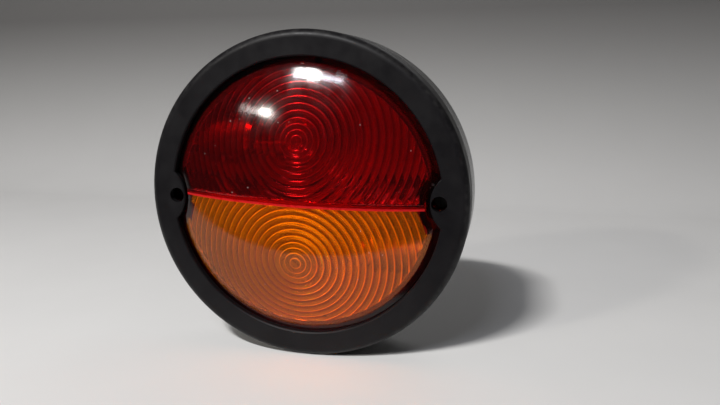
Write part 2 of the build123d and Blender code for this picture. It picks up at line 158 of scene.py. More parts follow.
# ---------------------------------------------------------------- small helpers
def keep_mesh(name, mesh, body, *nodes, slot=None):
    """Puts a finished mesh in the scene as a piece that rides on a body and stands for its nodes."""
    piece = bpy.data.objects.new(name, mesh)
    bpy.context.scene.collection.objects.link(piece)
    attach(piece, body)
    if nodes:
        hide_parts(*nodes)
    return piece


def mesh_from(name, points, faces):
    mesh = bpy.data.meshes.new(name)
    mesh.from_pydata([tuple(p) for p in points], [], faces)
    return mesh


def smooth(mesh, sharp_over=12.0):
    """Smooth shading with crisp edges where the faces turn by more than an angle."""
    mesh.polygons.foreach_set("use_smooth", [True] * len(mesh.polygons))
    mesh.set_sharp_from_angle(angle=math.radians(sharp_over))
    return mesh


def weld(mesh, within=1e-7):
    """Merges doubles, drops what collapsed and turns the faces outwards."""
    body = bmesh.new()
    body.from_mesh(mesh)
    bmesh.ops.remove_doubles(body, verts=body.verts, dist=within)
    bmesh.ops.dissolve_degenerate(body, edges=body.edges, dist=within)
    bmesh.ops.recalc_face_normals(body, faces=body.faces)
    body.to_mesh(mesh)
    body.free()
    return mesh


def applied(piece):
    """The evaluated mesh of an object with its modifiers, as a plain mesh. The object is removed."""
    graph = bpy.context.evaluated_depsgraph_get()
    mesh = bpy.data.meshes.new_from_object(piece.evaluated_get(graph), depsgraph=graph)
    bpy.data.objects.remove(piece)
    return mesh


# ---------------------------------------------------------------- materials
class Finish:
    """A node material on Object coordinates, built a node at a time."""

    def __init__(self, name):
        self.material = bpy.data.materials.new(name)
        self.material.use_nodes = True
        self.tree = self.material.node_tree
        self.bsdf = self.tree.nodes["Principled BSDF"]
        self.out = self.tree.nodes["Material Output"]
        self.place = self.node("ShaderNodeTexCoord").outputs["Object"]

    def node(self, kind, **inputs):
        made = self.tree.nodes.new(kind)
        for name, value in inputs.items():
            self.feed(made.inputs[name.replace("_", " ")], value)
        return made

    def feed(self, socket, value):
        if isinstance(value, bpy.types.NodeSocket):
            self.tree.links.new(value, socket)
        else:
            socket.default_value = value

    def set(self, **inputs):
        for name, value in inputs.items():
            self.feed(self.bsdf.inputs[name.replace("_", " ")], value)

    def noise(self, size, detail=3.0, rough=0.55, stretch=(1, 1, 1)):
        """Noise whose blotches are about a size across, from 0 to 1."""
        mapped = self.node("ShaderNodeMapping", Vector=self.place, Scale=stretch).outputs[0]
        return self.node(
            "ShaderNodeTexNoise", Vector=mapped, Scale=1 / size, Detail=detail, Roughness=rough
        ).outputs["Fac"]

    def ranged(self, value, low, high, to_low=0.0, to_high=1.0):
        """A value carried from one range to another, and held at its ends."""
        made = self.node("ShaderNodeMapRange", Value=value)
        for index, number in zip((1, 2, 3, 4), (low, high, to_low, to_high)):
            made.inputs[index].default_value = number
        return made.outputs[0]

    def blend(self, share, first, second):
        """A colour between two, by a share."""
        made = self.tree.nodes.new("ShaderNodeMix")
        made.data_type = "RGBA"
        self.feed(made.inputs[0], share)
        self.feed(made.inputs[6], first)
        self.feed(made.inputs[7], second)
        return made.outputs[2]

    def maths(self, operation, first, second):
        made = self.tree.nodes.new("ShaderNodeMath")
        made.operation = operation
        self.feed(made.inputs[0], first)
        self.feed(made.inputs[1], second)
        return made.outputs[0]

    def bump(self, height, depth, strength=1.0):
        return self.node(
            "ShaderNodeBump", Height=height, Distance=depth, Strength=strength
        ).outputs[0]

    def specks(self, spacing, radius, share):
        """1 inside scattered round specks, 0 elsewhere."""
        cell = self.node("ShaderNodeTexVoronoi", Vector=self.place, Scale=1 / spacing)
        near = self.ranged(cell.outputs["Distance"], radius / spacing * 0.6, radius / spacing, 1.0, 0.0)
        tone = self.node("ShaderNodeSeparateColor", Color=cell.outputs["Color"]).outputs[0]
        return self.maths("MULTIPLY", near, self.maths("LESS_THAN", tone, share))

    def from_axis(self):
        """Distance from the lamp's axis."""
        parts = self.node("ShaderNodeSeparateXYZ", Vector=self.place)
        level = self.node("ShaderNodeCombineXYZ", X=parts.outputs[0], Z=parts.outputs[2]).outputs[0]
        made = self.tree.nodes.new("ShaderNodeVectorMath")
        made.operation = "LENGTH"
        self.feed(made.inputs[0], level)
        return made.outputs["Value"]

    def mixed(self, share, first, second):
        made = self.node("ShaderNodeMixShader")
        self.feed(made.inputs[0], share)
        self.feed(made.inputs[1], first)
        self.feed(made.inputs[2], second)
        return made.outputs[0]

    def shows(self, shader):
        self.tree.links.new(shader, self.out.inputs["Surface"])
        return self.material


def opaque(colour):
    return (*colour, 1.0)


def satin_black():
    """Moulded bezel plastic: fine grain, greyer where hands and cloths rub it, a little dust, and a greyer
    outer front edge that is partly wear and partly a painted highlight.
    """
    f = Finish("satin_black_plastic")
    rubbed = f.noise(14 * MM, 4.0)
    depth = f.node("ShaderNodeSeparateXYZ", Vector=f.place).outputs[1]
    corner = f.ranged(depth, RING_FACE_Y + 0.4 * MM, RING_FACE_Y + 2.4 * MM, 1.0, 0.0)
    outermost = f.ranged(f.from_axis(), DRUM_R - 2.4 * MM, DRUM_R - 0.8 * MM, 0.0, 0.5)
    edge = f.maths("MULTIPLY", corner, outermost)
    # Greyer outer front edge: partly rubbed wear, partly a painted highlight along the rounded edge.
    edge_wear_and_highlight = f.maths("MULTIPLY", edge, f.ranged(f.noise(3 * MM, 5.0), 0.42, 0.7))
    tone = f.blend(f.ranged(rubbed, 0.35, 0.7), (0.0056, 0.005, 0.006, 1), (0.0095, 0.0088, 0.0098, 1))
    tone = f.blend(edge_wear_and_highlight, tone, (0.06, 0.058, 0.056, 1))
    dust = f.specks(5.5 * MM, 0.22 * MM, 0.2)
    f.set(
        Base_Color=f.blend(dust, tone, (0.35, 0.33, 0.31, 1)),
        Roughness=f.ranged(f.noise(4 * MM, 4.0), 0.3, 0.7, 0.36, 0.5),
        Normal=f.bump(f.noise(0.22 * MM, 2.0), 0.035 * MM, 0.6),
        Specular_IOR_Level=0.18,
    )
    return f.material


def gloss_black():
    """Moulded drum plastic, glossier than the bezel, with faint flow marks and handling scuffs."""
    f = Finish("black_plastic")
    scuff = f.ranged(f.noise(9 * MM, 6.0, 0.7, (1, 3, 1)), 0.5, 0.72)
    f.set(
        Base_Color=f.blend(scuff, (0.009, 0.009, 0.010, 1), (0.022, 0.022, 0.024, 1)),
        Roughness=f.maths("ADD", 0.2, f.maths("MULTIPLY", scuff, 0.22)),
        Normal=f.bump(f.noise(2.4 * MM, 3.0), 0.03 * MM, 0.35),
        Specular_IOR_Level=0.6,
    )
    return f.material


def soft_rubber():
    """Moulded rubber with a greyer bloom in patches."""
    f = Finish("rubber")
    bloom = f.ranged(f.noise(7 * MM, 5.0), 0.45, 0.75)
    f.set(
        Base_Color=f.blend(bloom, (0.014, 0.014, 0.014, 1), (0.045, 0.043, 0.040, 1)),
        Roughness=f.ranged(bloom, 0, 1, 0.62, 0.85),
        Normal=f.bump(f.noise(0.5 * MM, 3.0), 0.05 * MM, 0.5),
    )
    return f.material


def bare_metal(name, colour, rough, tarnish, drawn=(1, 1, 1), grain=0.25 * MM, depth=0.012 * MM):
    """Plated, drawn or rolled metal with a grain along one way and tarnish in blotches."""
    f = Finish(name)
    dull = f.ranged(f.noise(5 * MM, 6.0, 0.65), 0.45, 0.78)
    line = f.noise(grain, 3.0, 0.6, drawn)
    grained = f.ranged(line, 0.3, 0.7, rough * 0.75, rough * 1.2)
    f.set(
        Base_Color=f.blend(dull, opaque(colour), opaque(tarnish)),
        Metallic=1.0,
        Roughness=f.maths("ADD", grained, f.maths("MULTIPLY", dull, 0.16)),
        Normal=f.bump(line, depth, 0.5),
    )
    return f.material


def moulded(name, colour, stain, rough, grain=0.4 * MM):
    """Dull moulded plastic or pressed board: blotched colour and a fine uneven face."""
    f = Finish(name)
    patch = f.ranged(f.noise(4 * MM, 5.0, 0.6), 0.35, 0.72)
    f.set(
        Base_Color=f.blend(patch, opaque(colour), opaque(stain)),
        Roughness=f.ranged(f.noise(2 * MM), 0.3, 0.7, rough - 0.08, rough + 0.1),
        Normal=f.bump(f.noise(grain, 4.0), 0.03 * MM, 0.5),
    )
    return f.material


def clear_part(name, colour, rough, haze_colour, haze, lamp_tint, ior=1.43, dust=0.0, thick=None):
    """Clear plastic or glass that bends light, lets lamps shine through it and scatters a little.

    A thick colour takes over where the point attribute thickness is 1. It stands for the deeper plastic and
    is partly painted shade: with the thin colour it paints the dark and bright band of each ring.
    """
    f = Finish(name)
    if thick:
        by_thickness = f.node("ShaderNodeAttribute")
        by_thickness.attribute_name = "thickness"
        share = f.ranged(by_thickness.outputs["Fac"], THIN_UNDER, THICK_OVER)
        colour = f.blend(share, colour, thick)
    f.set(Base_Color=colour, Transmission_Weight=1.0, IOR=ior)
    f.set(Roughness=f.ranged(f.noise(6 * MM, 4.0), 0.3, 0.75, rough, rough * 2.2))
    body = f.bsdf.outputs[0]
    if haze:
        milk = f.node("ShaderNodeBsdfDiffuse", Color=haze_colour).outputs[0]
        glow = f.node("ShaderNodeBsdfTranslucent", Color=haze_colour).outputs[0]
        body = f.mixed(haze, body, f.mixed(0.5, milk, glow))
    if dust:
        lint = f.node("ShaderNodeBsdfDiffuse", Color=(0.75, 0.7, 0.66, 1)).outputs[0]
        body = f.mixed(f.specks(4.2 * MM, 0.2 * MM, dust), body, lint)
    path = f.node("ShaderNodeLightPath")
    open_way = f.node("ShaderNodeBsdfTransparent", Color=lamp_tint).outputs[0]
    return f.shows(f.mixed(path.outputs["Is Shadow Ray"], body, open_way))


# The thick colours are the plastics where deepest, and partly painted shade for the dark band of each ring.
RED = (0.55, 0.007, 0.011, 1)
RED_THICK_SHADED = (0.16, 0.002, 0.003, 1)
RED_LIT = (0.52, 0.04, 0.04, 1)
AMBER = (1.0, 0.5, 0.006, 1)
AMBER_THICK_SHADED = (0.24, 0.012, 0.001, 1)
AMBER_LIT = (0.82, 0.44, 0.05, 1)
FINISHES = {
    "black_plastic": gloss_black(),
    "satin_black_plastic": satin_black(),
    "rubber": soft_rubber(),
    "zinc_steel": bare_metal("zinc_steel", (0.26, 0.26, 0.25), 0.55, (0.22, 0.2, 0.17), (1, 6, 1)),
    "dark_steel": bare_metal("dark_steel", (0.12, 0.11, 0.105), 0.42, (0.06, 0.045, 0.035)),
    "spring_steel": bare_metal("spring_steel", (0.5, 0.5, 0.5), 0.28, (0.3, 0.28, 0.25)),
    "bright_metal": bare_metal("bright_metal", (0.5, 0.5, 0.49), 0.42, (0.36, 0.35, 0.32), (1, 1, 8)),
    "aluminium": bare_metal("aluminium", (0.75, 0.75, 0.76), 0.36, (0.5, 0.5, 0.5)),
    "brass": bare_metal("brass", (0.78, 0.55, 0.2), 0.26, (0.35, 0.22, 0.1), (6, 1, 1)),
    "nickel_brass": bare_metal("nickel_brass", (0.72, 0.67, 0.55), 0.22, (0.5, 0.42, 0.28)),
    "solder": bare_metal("solder", (0.55, 0.55, 0.57), 0.45, (0.3, 0.3, 0.31)),
    "tungsten": bare_metal("tungsten", (0.35, 0.35, 0.37), 0.35, (0.2, 0.2, 0.22)),
    "white_plastic": moulded("white_plastic", (0.68, 0.66, 0.6), (0.52, 0.48, 0.4), 0.45),
    "brown_fibre": moulded("brown_fibre", (0.2, 0.085, 0.035), (0.1, 0.045, 0.02), 0.68),
    "black_glass": moulded("black_glass", (0.02, 0.02, 0.024), (0.035, 0.03, 0.03), 0.28),
    "bulb_glass": clear_part(
        "bulb_glass", (0.97, 0.98, 0.98, 1), 0.004, (0.8, 0.8, 0.8, 1), 0.01, (0.93, 0.93, 0.93, 1), 1.5
    ),
    "red_plastic": clear_part(
        "red_plastic", RED, 0.07, (0.5, 0.012, 0.02, 1), 0.05, RED_LIT, dust=0.5, thick=RED_THICK_SHADED
    ),
    "amber_plastic": clear_part(
        "amber_plastic", AMBER, 0.07, (0.95, 0.33, 0.008, 1), 0.1, AMBER_LIT, dust=0.5, thick=AMBER_THICK_SHADED
    ),
}
# Brighter, cloudier red on the joint lip: partly a bond line, partly a painted glow of the light the rib
# carries.
RED_LIP_PAINTED_GLOW = clear_part("red_joint_lip_painted_glow", RED, 0.2, (0.9, 0.02, 0.025, 1), 0.7, RED_LIT)
# The thin faces between the rings get a cloudier plastic so they show as bright lines: partly a painted
# highlight of light the rings catch.
RED_RISER_HIGHLIT = clear_part("red_ring_edge", RED, 0.2, (0.7, 0.015, 0.02, 1), 0.35, RED_LIT)
AMBER_RISER_HIGHLIT = clear_part("amber_ring_edge", AMBER, 0.2, (1.0, 0.5, 0.03, 1), 1.0, AMBER_LIT)
RED_BASE = clear_part(
    "deep_red_plastic", (0.12, 0.002, 0.003, 1), 0.09, (0.12, 0.003, 0.004, 1), 0.03, (0.15, 0.008, 0.008, 1)
)

for node_name, node_object in frame["nodes"].items():
    for material_slot in node_object.material_slots:
        material_slot.material = FINISHES[SLOT_OF[node_name]]


# ---------------------------------------------------------------- ring optics
def dome_depth(flat, ball_r):
    """Y of a ball round the dome's centre, over points given as x and z."""
    return DOME_Y - np.sqrt(ball_r**2 - (flat**2).sum(-1))


def corners():
    """Where the notches meet the dome's edge, as x and z."""
    x = (EDGE_R**2 - NOTCH_R**2 + NOTCH_X**2) / (2 * NOTCH_X)
    z = math.sqrt(EDGE_R**2 - x**2)
    return [np.array([sx * x, sz * z]) for sx in (-1, 1) for sz in (-1, 1)]


def joint_ends(level):
    """Where a line along the joint, at a level above it, meets the notches."""
    found = []
    for side in (-1, 1):
        notch = np.array([side * NOTCH_X, 0.0])
        base = level * JOINT_UP
        along = (notch - base) @ JOINT_ALONG
        reach = math.sqrt(NOTCH_R**2 - (notch - base) @ (notch - base) + along**2)
        found.append(base + (along - side * reach) * JOINT_ALONG)
    return found


def reach_of(centre, way, joint_level):
    """Distance from an optic centre to its half's edge along each heading, and which end at the joint."""
    into = way @ centre
    circle = -into + np.sqrt(into**2 - centre @ centre + EDGE_R**2)
    best = circle
    for side in (-1, 1):
        to = np.array([side * NOTCH_X, 0.0]) - centre
        along = way @ to
        inside = along**2 - to @ to + NOTCH_R**2
        hit = np.where((inside > 0) & (along > 0), along - np.sqrt(np.maximum(inside, 0)), np.inf)
        best = np.minimum(best, hit)
    fall = way @ JOINT_UP
    toward = (joint_level - centre @ JOINT_UP) / np.where(np.abs(fall) < 1e-9, 1e-9, fall)
    joint = np.where(toward > 0, toward, np.inf)
    return np.minimum(best, joint), joint < best


def ring_edges(far):
    """Radii of the risers about an optic centre, out to a distance."""
    edges = [CORE_PITCH * (k + 1) for k in range(CORE_RINGS)]
    while edges[-1] < far:
        edges.append(edges[-1] + RING_PITCH)
    return edges


def ring_stations(far):
    """Distances at which the mould has a line of points, and whether a riser follows each."""
    stations, rises, start = [], [], 0.0
    for edge in ring_edges(far):
        end = edge - RISER_W / 2
        stations += [start + (end - start) * k / RING_STEPS for k in range(1, RING_STEPS + 1)]
        rises += [False] * (RING_STEPS - 1) + [True]
        start = edge + RISER_W / 2
        stations.append(start)
        rises.append(False)
    return stations, rises


def optic_blank(name, centre, joint_level, side):
    """One colour's dome as a closed shell on a polar grid about its optic centre, with a plain inner face.

    Point attribute ring marks the inner points that the ring tree carves, face attribute riser the risers.
    """
    own = list(corners()) + joint_ends(joint_level)
    turns = list(np.arange(HEADINGS) * 2 * math.pi / HEADINGS)
    for p in own:
        if side * (p @ JOINT_UP - joint_level) > -1e-6:
            turns.append(math.atan2(p[1] - centre[1], p[0] - centre[0]) % (2 * math.pi))
    turns = np.array(sorted(turns))
    turns = turns[np.append(True, np.diff(turns) > 1e-5)]
    way = np.stack([np.cos(turns), np.sin(turns)], 1)
    reach, at_joint = reach_of(centre, way, joint_level)
    foot = np.where(at_joint, 0.0, WALL_T)
    inner_end = reach - np.where(at_joint, 0.05 * MM, WALL_T + 0.02 * MM)
    stations, rises = ring_stations(reach.max())
    count = len(turns)
    rows, risers = [], []
    for edge in ring_edges(reach.max()):
        rows.append((centre + way * np.minimum(edge, reach - EDGE_ROUND[0][0])[:, None], DOME_R, None))
    for inwards, down in EDGE_ROUND:
        rows.append((centre + way * (reach - inwards)[:, None], DOME_R - down, None))
    outer_rows = len(rows)
    for r, rise in zip(stations, rises):
        r = np.minimum(r, inner_end)
        rows.append((centre + way * r[:, None], DOME_R - SKIN_T, r < inner_end - 1e-6))
        risers.append(rise)
    for r in (inner_end, reach - foot, reach):
        rows.append((centre + way * r[:, None], DOME_R - SKIN_T, None))
        risers.append(False)
    points, marks = [], []
    for index, (flat, ball, carved) in enumerate(rows):
        y = dome_depth(flat, ball)
        if index >= len(rows) - 2:
            y = np.where(at_joint, y, FLANGE_Y - SPLIT_GAP)
        points.append(np.stack([flat[:, 0], y, flat[:, 1]], 1))
        marks.append(np.zeros(count) if carved is None else carved.astype(float))
    hubs = len(rows) * count
    skins = (DOME_R, DOME_R - SKIN_T)
    points.append(np.array([[centre[0], dome_depth(centre, ball), centre[1]] for ball in skins]))
    marks.append(np.array([0.0, 1.0]))
    faces, is_riser = [], []
    for row in range(len(rows) - 1):
        if row == outer_rows - 1:
            continue
        for i in range(count):
            a, b = row * count + i, row * count + (i + 1) % count
            faces.append((a, b, b + count, a + count))
            is_riser.append(row >= outer_rows and risers[row - outer_rows])
    outer_rim, inner_rim = (outer_rows - 1) * count, (len(rows) - 1) * count
    for i in range(count):
        j = (i + 1) % count
        faces.append((outer_rim + i, inner_rim + i, inner_rim + j, outer_rim + j))
        faces.append((hubs, i, j))
        faces.append((hubs + 1, outer_rows * count + j, outer_rows * count + i))
        is_riser += [False] * 3
    mesh = mesh_from(name, np.concatenate(points), faces)
    ring = mesh.attributes.new("ring", "FLOAT", "POINT")
    ring.data.foreach_set("value", np.concatenate(marks).astype(np.float32))
    riser = mesh.attributes.new("riser", "FLOAT", "FACE")
    riser.data.foreach_set("value", np.array(is_riser, np.float32))
    return weld(mesh)


class Tree:
    """A geometry node tree, built a node at a time, with named inputs."""

    def __init__(self, name):
        self.group = bpy.data.node_groups.new(name, "GeometryNodeTree")
        self.group.interface.new_socket("Geometry", in_out="OUTPUT", socket_type="NodeSocketGeometry")
        self.entry = self.group.nodes.new("NodeGroupInput")
        self.exit = self.group.nodes.new("NodeGroupOutput")
        self.sockets = {}

    def takes(self, name, kind):
        made = self.group.interface.new_socket(name, in_out="INPUT", socket_type=kind)
        self.sockets[name] = made.identifier
        return self.entry.outputs[name]

    def node(self, kind, *inputs, **settings):
        made = self.group.nodes.new(kind)
        for name, value in settings.items():
            setattr(made, name, value)
        for index, value in enumerate(inputs):
            if isinstance(value, bpy.types.NodeSocket):
                self.group.links.new(value, made.inputs[index])
            elif value is not None:
                made.inputs[index].default_value = value
        return made

    def maths(self, operation, *values):
        return self.node("ShaderNodeMath", *values, operation=operation).outputs[0]

    def attribute(self, name):
        made = self.node("GeometryNodeInputNamedAttribute", data_type="FLOAT")
        made.inputs["Name"].default_value = name
        return made.outputs["Attribute"]

    def painted(self, geometry, material, where=None):
        made = self.group.nodes.new("GeometryNodeSetMaterial")
        self.group.links.new(geometry, made.inputs["Geometry"])
        self.group.links.new(material, made.inputs["Material"])
        if where is not None:
            self.group.links.new(where, made.inputs["Selection"])
        return made.outputs[0]

    def ends(self, geometry):
        self.group.links.new(geometry, self.exit.inputs[0])
        return self

    def on(self, name, mesh, **values):
        """The mesh that the tree makes from a mesh, with its inputs set."""
        piece = bpy.data.objects.new(name, mesh)
        bpy.context.scene.collection.objects.link(piece)
        modifier = piece.modifiers.new(name, "NODES")
        modifier.node_group = self.group
        for label, value in values.items():
            modifier[self.sockets[label.replace("_", " ")]] = value
        bpy.context.view_layer.update()
        return applied(piece)


def ring_tree():
    """Carves a shell's inner face into rings, each thick at its inner edge and thin at its outer edge."""
    t = Tree("ring_optics")
    shell = t.takes("Shell", "NodeSocketGeometry")
    centre_x = t.takes("Centre X", "NodeSocketFloat")
    centre_z = t.takes("Centre Z", "NodeSocketFloat")
    core_pitch = t.takes("Core pitch", "NodeSocketFloat")
    core_r = t.takes("Core radius", "NodeSocketFloat")
    core_depth = t.takes("Core depth", "NodeSocketFloat")
    pitch = t.takes("Pitch", "NodeSocketFloat")
    depth = t.takes("Depth", "NodeSocketFloat")
    swell = t.takes("Swell", "NodeSocketFloat")
    plastic = t.takes("Plastic", "NodeSocketMaterial")
    edge = t.takes("Ring edge", "NodeSocketMaterial")
    notch_x = t.takes("Notch X", "NodeSocketFloat")
    margin_r = t.takes("Notch band radius", "NodeSocketFloat")
    notch_band = t.takes("Notch band", "NodeSocketMaterial")
    spot = t.node("ShaderNodeSeparateXYZ", t.node("GeometryNodeInputPosition").outputs[0])
    off_x = t.maths("SUBTRACT", spot.outputs[0], centre_x)
    off_z = t.maths("SUBTRACT", spot.outputs[2], centre_z)
    off_squared = t.maths("ADD", t.maths("MULTIPLY", off_x, off_x), t.maths("MULTIPLY", off_z, off_z))
    away = t.maths("SQRT", off_squared)
    in_core = t.maths("FRACT", t.maths("DIVIDE", away, core_pitch))
    outside = t.maths("FRACT", t.maths("DIVIDE", t.maths("SUBTRACT", away, core_r), pitch))
    is_core = t.maths("LESS_THAN", away, core_r)
    core_h = t.maths("MULTIPLY", t.maths("SUBTRACT", 1.0, t.maths("POWER", in_core, swell)), core_depth)
    ring_h = t.maths("MULTIPLY", t.maths("SUBTRACT", 1.0, t.maths("POWER", outside, swell)), depth)
    swap = t.node("ShaderNodeMix", is_core, None, ring_h, core_h, data_type="FLOAT").outputs[0]
    height = t.maths("MULTIPLY", swap, t.attribute("ring"))
    marked = t.node("GeometryNodeStoreNamedAttribute", shell, data_type="FLOAT", domain="POINT")
    marked.inputs["Name"].default_value = "thickness"
    t.group.links.new(t.maths("DIVIDE", height, depth), marked.inputs["Value"])
    push = t.node("ShaderNodeCombineXYZ", 0.0, height, 0.0).outputs[0]
    moved = t.node("GeometryNodeSetPosition", marked.outputs[0])
    t.group.links.new(push, moved.inputs["Offset"])
    solid = t.node("GeometryNodeRealizeInstances", moved.outputs[0]).outputs[0]
    painted = t.painted(solid, plastic)
    is_riser = t.maths("GREATER_THAN", t.attribute("riser"), 0.5)
    painted = t.painted(painted, edge, is_riser)
    from_notch = t.maths("SUBTRACT", t.maths("ABSOLUTE", spot.outputs[0]), notch_x)
    squares = t.maths("ADD", t.maths("POWER", from_notch, 2.0), t.maths("POWER", spot.outputs[2], 2.0))
    beside_notch = t.maths("LESS_THAN", t.maths("SQRT", squares), margin_r)
    return t.ends(t.painted(painted, notch_band, beside_notch))


def ring_lens(colour, up_or_down, joint_level, edge):
    """One colour's half of the lens, with its rings."""
    name, slot = colour + "_ring_lens", colour + "_plastic"
    centre = up_or_down * OPTIC_OFFSET * JOINT_UP
    blank = optic_blank(name, centre, joint_level, up_or_down)
    mesh = RINGS.on(
        name,
        blank,
        Centre_X=float(centre[0]),
        Centre_Z=float(centre[1]),
        Core_pitch=CORE_PITCH,
        Core_radius=CORE_R,
        Core_depth=CORE_DEPTH,
        Pitch=RING_PITCH,
        Depth=RING_DEPTH,
        Swell=RING_SWELL,
        Plastic=FINISHES[slot],
        Ring_edge=edge,
        Notch_X=NOTCH_X,
        Notch_band_radius=NOTCH_R + NOTCH_MARGIN,
        Notch_band=RED_BASE,
    )
    keep_mesh(name, smooth(mesh), "lens_unit", colour + "_lens", slot=slot)


RINGS = ring_tree()
ring_lens("red", 1, RIB_HIGH, RED_RISER_HIGHLIT)
ring_lens("amber", -1, RIB_LOW, AMBER_RISER_HIGHLIT)


def centre_rib():
    """The red bar between the colours: flush with the dome in front, and standing into the chamber."""
    levels = (RIB_LOW + SPLIT_GAP, RIB_LIP, RIB_HIGH - SPLIT_GAP)
    ends = {level: joint_ends(level) for level in levels}
    points = []
    for k in range(RIB_STEPS + 1):
        for level in levels:
            first, last = ends[level]
            flat = first + (last - first) * (k / RIB_STEPS)
            front = dome_depth(flat, DOME_R)
            back = min(FLANGE_Y - SPLIT_GAP, dome_depth(flat, DOME_R - WALL_T - RIB_DEPTH))
            points.append((flat[0], front, flat[1]))
            points.append((flat[0], back, flat[1]))
    section = (0, 2, 4, 5, 3, 1)  # round the bar: front low to high, then back high to low
    faces, lip = [], []
    for k in range(RIB_STEPS):
        for s, e in zip(section, section[1:] + section[:1]):
            faces.append((k * 6 + s, k * 6 + e, k * 6 + 6 + e, k * 6 + 6 + s))
            lip.append(int({s, e} <= {0, 1, 2, 3}))
    faces.append(section)
    faces.append(tuple(RIB_STEPS * 6 + s for s in reversed(section)))
    mesh = mesh_from("centre_rib", points, faces)
    mesh.materials.append(FINISHES["red_plastic"])
    mesh.materials.append(RED_LIP_PAINTED_GLOW)
    mesh.polygons.foreach_set("material_index", lip + [0, 0])
    keep_mesh("centre_rib", smooth(weld(mesh), 30), "lens_unit", "red_lens", slot="red_plastic")


def lens_base():
    """The red moulding behind the dome: clamped flange, edge wall and the two screw wells."""
    mesh = frame["nodes"]["red_lens"].data.copy()
    body = bmesh.new()
    body.from_mesh(mesh)
    bmesh.ops.remove_doubles(body, verts=body.verts, dist=1e-6)
    cut = bmesh.ops.bisect_plane(
        body,
        geom=body.verts[:] + body.edges[:] + body.faces[:],
        plane_co=(0, FLANGE_Y + 2 * SPLIT_GAP, 0),
        plane_no=(0, -1, 0),
        clear_outer=True,
    )
    rim = [e for e in cut["geom_cut"] if isinstance(e, bmesh.types.BMEdge)]
    bmesh.ops.triangle_fill(body, edges=rim, use_beauty=True, normal=(0, -1, 0))
    bmesh.ops.recalc_face_normals(body, faces=body.faces)
    body.to_mesh(mesh)
    body.free()
    mesh.name = "lens_base"
    mesh.materials.clear()
    mesh.materials.append(RED_BASE)
    keep_mesh("lens_base", smooth(mesh, 25), "lens_unit", "red_lens", slot="red_plastic")


def flute_tree():
    """Stands a short round flute at even steps along a line."""
    t = Tree("edge_flutes")
    line = t.takes("Line", "NodeSocketGeometry")
    pitch = t.takes("Pitch", "NodeSocketFloat")
    radius = t.takes("Radius", "NodeSocketFloat")
    height = t.takes("Height", "NodeSocketFloat")
    plastic = t.takes("Plastic", "NodeSocketMaterial")
    curve = t.node("GeometryNodeMeshToCurve", line).outputs[0]
    even = t.node("GeometryNodeResampleCurve", curve)
    even.mode = "LENGTH"
    t.group.links.new(pitch, even.inputs["Length"])
    flute = t.node("GeometryNodeMeshCylinder", FLUTE_SIDES)
    t.group.links.new(radius, flute.inputs["Radius"])
    t.group.links.new(height, flute.inputs["Depth"])
    along_y = t.node("ShaderNodeCombineXYZ", math.pi / 2, 0.0, 0.0).outputs[0]
    stood = t.node("GeometryNodeInstanceOnPoints", even.outputs[0])
    t.group.links.new(flute.outputs["Mesh"], stood.inputs["Instance"])
    t.group.links.new(along_y, stood.inputs["Rotation"])
    solid = t.node("GeometryNodeRealizeInstances", stood.outputs[0]).outputs[0]
    return t.ends(t.painted(solid, plastic))


def edge_flutes():
    """Fine upright flutes round the dome's edge wall, above and below the notches."""
    upper_right = corners()[3]
    swing = math.atan2(upper_right[1], upper_right[0]) + PAST_NOTCH
    y = (FLANGE_Y + EDGE_Y) / 2
    points, edges = [], []
    for side in (1, -1):
        first = len(points)
        for k in range(FLUTE_LINE_STEPS + 1):
            a = swing + (math.pi - 2 * swing) * k / FLUTE_LINE_STEPS
            points.append((EDGE_R * math.cos(a), y, side * EDGE_R * math.sin(a)))
        edges += [(first + k, first + k + 1) for k in range(FLUTE_LINE_STEPS)]
    line = bpy.data.meshes.new("edge_flutes")
    line.from_pydata(points, edges, [])
    height = abs(FLANGE_Y - EDGE_Y) - FLUTE_SHORT
    tree = flute_tree()
    mesh = tree.on("edge_flutes", line, Pitch=FLUTE_PITCH, Radius=FLUTE_R, Height=height, Plastic=RED_BASE)
    keep_mesh("edge_flutes", smooth(weld(mesh), 40), "lens_unit", "red_lens", slot="red_plastic")


centre_rib()
lens_base()
edge_flutes()


# ---------------------------------------------------------------- coils in the bulb holders and bulbs
def coil_tree():
    """A round wire wound into a coil."""
    t = Tree("wound_wire")
    turns = t.takes("Turns", "NodeSocketFloat")
    radius = t.takes("Radius", "NodeSocketFloat")
    height = t.takes("Height", "NodeSocketFloat")
    wire_r = t.takes("Wire radius", "NodeSocketFloat")
    metal = t.takes("Metal", "NodeSocketMaterial")
    coil = t.node("GeometryNodeCurveSpiral", COIL_STEPS, turns, radius, radius, height, False)
    section = t.node("GeometryNodeCurvePrimitiveCircle", WIRE_SIDES)
    t.group.links.new(wire_r, section.inputs["Radius"])
    wire = t.node("GeometryNodeCurveToMesh", coil.outputs[0], section.outputs[0])
    wire.inputs["Fill Caps"].default_value = True
    solid = t.node("GeometryNodeRealizeInstances", wire.outputs[0]).outputs[0]
    return t.ends(t.painted(solid, metal))


def wound(name, middle, axis, metal, height, **sizes):
    """A coil round a place, along an axis, as a mesh. Its other sizes go to the tree by name."""
    mesh = COIL.on(name, bpy.data.meshes.new(name), Metal=FINISHES[metal], Height=height, **sizes)
    mesh.transform(Matrix.Translation((0, 0, -height / 2)))
    mesh.transform(Vector(axis).to_track_quat("Z", "Y").to_matrix().to_4x4())
    mesh.transform(Matrix.Translation(middle))
    return smooth(weld(mesh), 50)


